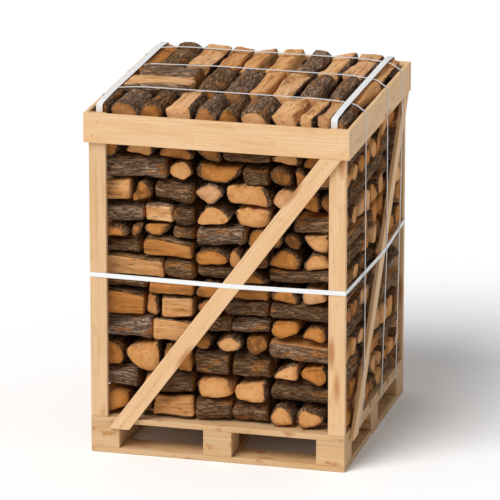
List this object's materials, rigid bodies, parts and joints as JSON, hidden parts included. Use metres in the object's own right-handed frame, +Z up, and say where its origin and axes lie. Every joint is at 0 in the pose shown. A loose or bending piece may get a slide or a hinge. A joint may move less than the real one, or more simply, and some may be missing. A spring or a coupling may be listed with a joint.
{
  "type": "crate of firewood on a pallet",
  "caption": "Split firewood stacked crosswise in an open timber crate with diagonal braces on a block pallet, tied with white strapping.",
  "frame": {"origin": "middle of the pallet's footprint at floor level", "axes": "+Z up, -Y towards the front, +X to the right seen from the front"},
  "size_m": [1.0374, 1.035, 1.3957],
  "materials": {
    "frame_pine": "sawn, unfinished",
    "pallet_pine": "sawn, unfinished",
    "firewood": "split faces, saw-cut ends and bark",
    "white_strap": "woven strap, satin",
    "grey_strap": "thin woven strap"
  },
  "bodies": {
    "root": {"post_front_left": "frame_pine", "post_front_right": "frame_pine", "post_back_left": "frame_pine", "post_back_right": "frame_pine", "rail_front": "frame_pine", "rail_back": "frame_pine", "rail_left": "frame_pine", "rail_right": "frame_pine", "brace_front": "frame_pine", "brace_back": "frame_pine", "brace_left": "frame_pine", "brace_right": "frame_pine", "deck_board_1": "pallet_pine", "deck_board_2": "pallet_pine", "deck_board_3": "pallet_pine", "deck_board_4": "pallet_pine", "deck_board_5": "pallet_pine", "deck_board_6": "pallet_pine", "deck_board_7": "pallet_pine", "stringer_left": "pallet_pine", "stringer_centre": "pallet_pine", "stringer_right": "pallet_pine", "block_front_left": "pallet_pine", "block_front_centre": "pallet_pine", "block_front_right": "pallet_pine", "block_middle_left": "pallet_pine", "block_middle_centre": "pallet_pine", "block_middle_right": "pallet_pine", "block_back_left": "pallet_pine", "block_back_centre": "pallet_pine", "block_back_right": "pallet_pine", "bottom_board_front": "pallet_pine", "bottom_board_back": "pallet_pine", "bottom_board_left": "pallet_pine", "bottom_board_centre": "pallet_pine", "bottom_board_right": "pallet_pine", "firewood_course_01": "firewood", "firewood_course_02": "firewood", "firewood_course_03": "firewood", "firewood_course_04": "firewood", "firewood_course_05": "firewood", "firewood_course_06": "firewood", "firewood_course_07": "firewood", "firewood_course_08": "firewood", "firewood_course_09": "firewood", "firewood_course_10": "firewood", "firewood_course_11": "firewood", "firewood_course_12": "firewood", "firewood_course_13": "firewood", "firewood_course_14": "firewood", "firewood_course_15": "firewood", "top_logs_front": "firewood", "top_logs_middle": "firewood", "top_logs_back": "firewood", "level_strap": "white_strap", "wide_strap_left": "white_strap", "wide_strap_right": "white_strap", "narrow_strap_front": "grey_strap", "narrow_strap_middle": "grey_strap", "narrow_strap_back": "grey_strap"}
  },
  "joints": []
}
